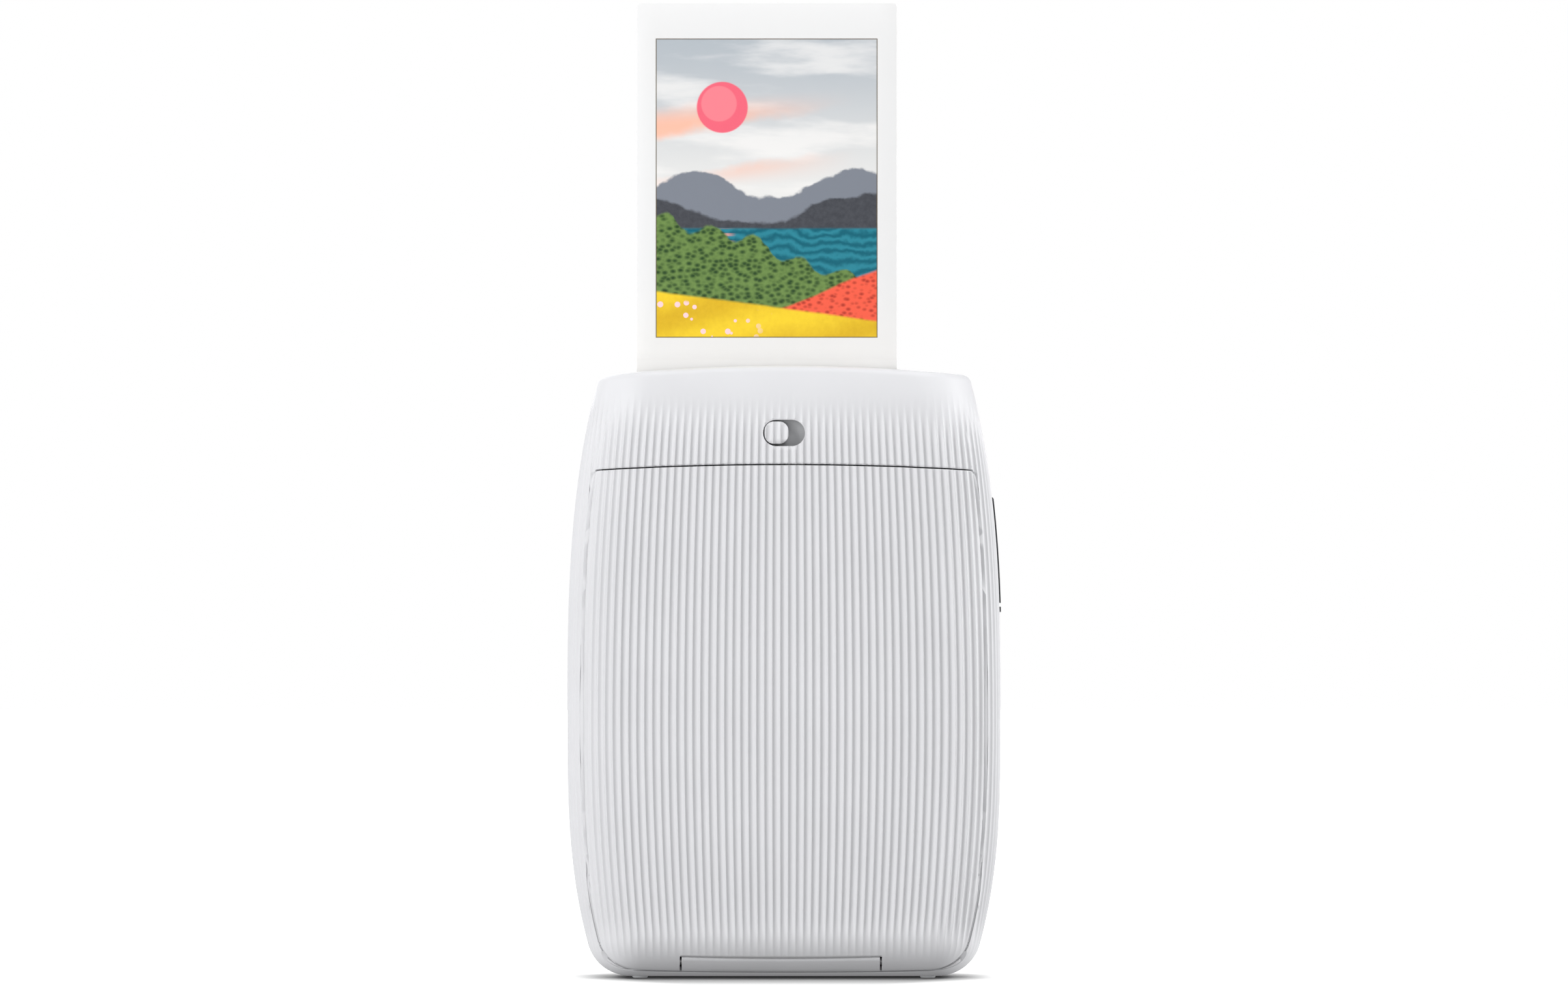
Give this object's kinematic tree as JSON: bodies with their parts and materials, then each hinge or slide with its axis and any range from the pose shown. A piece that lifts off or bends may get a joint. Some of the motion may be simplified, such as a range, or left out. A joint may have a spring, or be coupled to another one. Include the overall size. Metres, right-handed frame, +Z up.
{
  "type": "compact photo printer",
  "caption": "Upright compact printer for instant film: fluted rounded case with a hinged film door, sliding door latch, port cover and a fresh print standing in its top slot.",
  "frame": {"origin": "centre of the footprint, on the surface that the feet stand on", "axes": "+Z up, along the print's way out; -Y out of the face that carries the film door; +X towards the side with the port cover"},
  "size_m": [0.09, 0.0374, 0.202],
  "materials": {
    "case_plastic": "fine matte moulded plastic, fluted",
    "front_plastic": "fine matte moulded plastic",
    "frame_plastic": "black moulded plastic",
    "pack_plastic": "black moulded plastic, satin",
    "mark_ink": "printed mark",
    "plate_plastic": "dark grey moulded plastic",
    "latch_plastic": "dark grey slippery plastic",
    "steel": "bright rolled steel",
    "roller_steel": "fine knurled steel",
    "screw_steel": "black zinc",
    "gear_nylon": "natural nylon",
    "bush_bronze": "sintered bronze",
    "motor_steel": "nickel plated",
    "brass": "turned brass",
    "foam": "black foam",
    "felt": "short black pile",
    "feet_rubber": "grey rubber",
    "cover_rubber": "soft black rubber",
    "film_border": "white film border",
    "picture": "glossy instant picture",
    "film_sheet": "undeveloped instant film",
    "card": "black card",
    "board_green": "solder resist on glass fibre",
    "chip_black": "moulded epoxy",
    "connector": "natural nylon",
    "shield": "tinned shield",
    "battery_foil": "silver laminate pouch",
    "lead_jacket": "insulated lead",
    "flex": "amber polyimide film",
    "lens_clear": "clear rod lens",
    "ring_diffuser": "milky light guide",
    "switch_black": "moulded switch body",
    "button_plastic": "fine matte moulded plastic"
  },
  "bodies": {
    "case": {"rear_case": "case_plastic", "front_case": "front_plastic", "light_ring": "ring_diffuser", "latch_spring": "steel", "latch_retainer": "plate_plastic", "film_frame": "frame_plastic", "case_screws": "screw_steel", "small_screws": "screw_steel", "film_cartridge": "pack_plastic", "pack_mark": "mark_ink", "film_stack": "film_sheet", "pack_backing": "card", "pack_spring": "steel", "pack_back_plate": "card", "roller_bushes": "bush_bronze", "pinch_springs": "steel", "idler_pin": "steel", "motor": "motor_steel", "motor_bracket": "steel", "claw_spring": "steel", "exposure_head": "frame_plastic", "lens_bar": "lens_clear", "light_board": "board_green", "head_flex": "flex", "main_board": "board_green", "wireless_module": "shield", "board_chips": "chip_black", "board_connectors": "connector", "usb_socket": "shield", "reset_switch": "switch_black", "battery": "battery_foil", "battery_pads": "foam", "battery_leads": "lead_jacket", "button_board": "board_green", "power_switch": "switch_black", "slot_wipers": "felt", "door_switch": "switch_black", "rubber_feet": "feet_rubber"},
    "door": {"film_door": "case_plastic", "hinge_pins": "steel", "door_seal": "foam", "plate_springs": "steel", "door_catch": "steel"},
    "pressure_plate": {"pressure_plate": "plate_plastic"},
    "latch": {"latch_knob": "case_plastic", "latch_slider": "latch_plastic"},
    "power_button": {"power_button": "button_plastic"},
    "port_cover": {"port_cover": "cover_rubber"},
    "reset_button": {"reset_button": "cover_rubber"},
    "print": {"print_card": "film_border", "print_image": "picture"},
    "drive_roller": {"drive_roller": "roller_steel", "drive_gear": "gear_nylon"},
    "pinch_roller": {"pinch_roller": "roller_steel", "pinch_gear": "gear_nylon"},
    "idler": {"idler_gear": "gear_nylon"},
    "motor_rotor": {"motor_shaft": "steel", "motor_pinion": "brass"},
    "claw": {"film_claw": "steel"}
  },
  "joints": [
    {"name": "door_hinge", "type": "hinge", "parent": "case", "child": "door", "pos_m": [0, -0.01449, 0.00357], "axis": [1, 0, 0], "range_deg": [0, 83]},
    {"name": "plate_press", "type": "slide", "parent": "door", "child": "pressure_plate", "axis": [0, -1, 0], "range_m": [0, 0.0005], "stiffness_N_per_m": 400, "deforming": ["plate_springs"]},
    {"name": "latch_slide", "type": "slide", "parent": "case", "child": "latch", "axis": [1, 0, 0], "range_m": [0, 0.0032], "stiffness_N_per_m": 300, "deforming": ["latch_spring"]},
    {"name": "power_press", "type": "slide", "parent": "case", "child": "power_button", "axis": [0, -1, 0], "range_m": [0, 0.0004], "stiffness_N_per_m": 800},
    {"name": "port_cover_hinge", "type": "hinge", "parent": "case", "child": "port_cover", "pos_m": [0.04294, 0.0028, 0.0989], "axis": [0, -1, 0], "range_deg": [0, 100]},
    {"name": "reset_press", "type": "slide", "parent": "case", "child": "reset_button", "axis": [-1, 0, 0], "range_m": [0, 0.0003], "stiffness_N_per_m": 600},
    {"name": "print_feed", "type": "slide", "parent": "case", "child": "print", "axis": [0, 0, 1], "range_m": [-0.0844, 0.011]},
    {"name": "drive_roller_spin", "type": "hinge", "parent": "case", "child": "drive_roller", "pos_m": [0, 0.00145, 0.1175], "axis": [1, 0, 0], "continuous": true},
    {"name": "pinch_roller_spin", "type": "hinge", "parent": "case", "child": "pinch_roller", "pos_m": [0, -0.00505, 0.1175], "axis": [1, 0, 0], "continuous": true},
    {"name": "idler_spin", "type": "hinge", "parent": "case", "child": "idler", "pos_m": [-0.0368, 0.00462, 0.11154], "axis": [1, 0, 0], "continuous": true},
    {"name": "motor_spin", "type": "hinge", "parent": "case", "child": "motor_rotor", "pos_m": [-0.034, 0.00985, 0.10484], "axis": [1, 0, 0], "continuous": true},
    {"name": "claw_slide", "type": "slide", "parent": "case", "child": "claw", "axis": [0, 0, 1], "range_m": [0, 0.015], "stiffness_N_per_m": 20, "deforming": ["claw_spring"]}
  ],
  "couplings": [
    {"joint": "drive_roller_spin", "follows": "print_feed", "rad_per_m": -338.98},
    {"joint": "pinch_roller_spin", "follows": "print_feed", "rad_per_m": 338.98},
    {"joint": "idler_spin", "follows": "print_feed", "rad_per_m": 314.77},
    {"joint": "motor_spin", "follows": "print_feed", "rad_per_m": -755.45}
  ]
}
